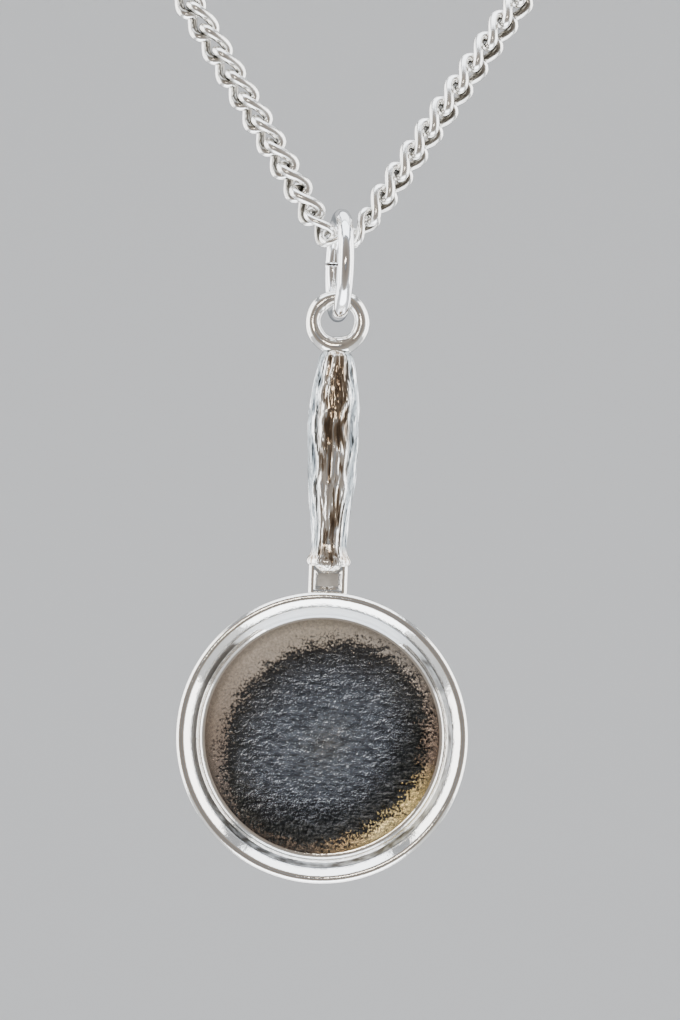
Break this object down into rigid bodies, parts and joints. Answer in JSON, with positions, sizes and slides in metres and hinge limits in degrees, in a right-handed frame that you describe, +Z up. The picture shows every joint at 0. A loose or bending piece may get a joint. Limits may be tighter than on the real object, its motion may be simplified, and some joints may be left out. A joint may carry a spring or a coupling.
{
  "type": "frying pan charm on a curb chain necklace",
  "caption": "Small cast silver frying pan charm with a ridged handle, hanging by a jump ring from a fine curb chain necklace with a barrel clasp.",
  "frame": {"origin": "middle of the clasp at the nape, where the necklace hangs on a neck", "axes": "+Z up, the front of the charm and the inside of the pan face -Y, +X to the viewer's right"},
  "size_m": [0.1238, 0.1103, 0.1602],
  "materials": {
    "cast_silver": "polished cast silver, its pan floor darkened blue-grey with a brown edge",
    "silver_wire": "polished silver wire",
    "silver_chain": "polished silver curb chain, slightly darkened between the links"
  },
  "bodies": {
    "necklace": {"chain_front": "silver_chain", "chain_back": "silver_chain", "clasp": "silver_wire"},
    "ring": {"jump_ring": "silver_wire"},
    "charm": {"pan_charm": "cast_silver"}
  },
  "joints": [
    {"name": "ring_swing", "type": "hinge", "parent": "necklace", "child": "ring", "pos_m": [0, -0.10636, -0.12675], "axis": [0.9945, 0.1045, 0], "range_deg": [-45, 45]},
    {"name": "charm_swing", "type": "hinge", "parent": "ring", "child": "charm", "pos_m": [0, -0.10636, -0.1306], "axis": [-0.1045, 0.9945, 0], "range_deg": [-60, 60]}
  ]
}
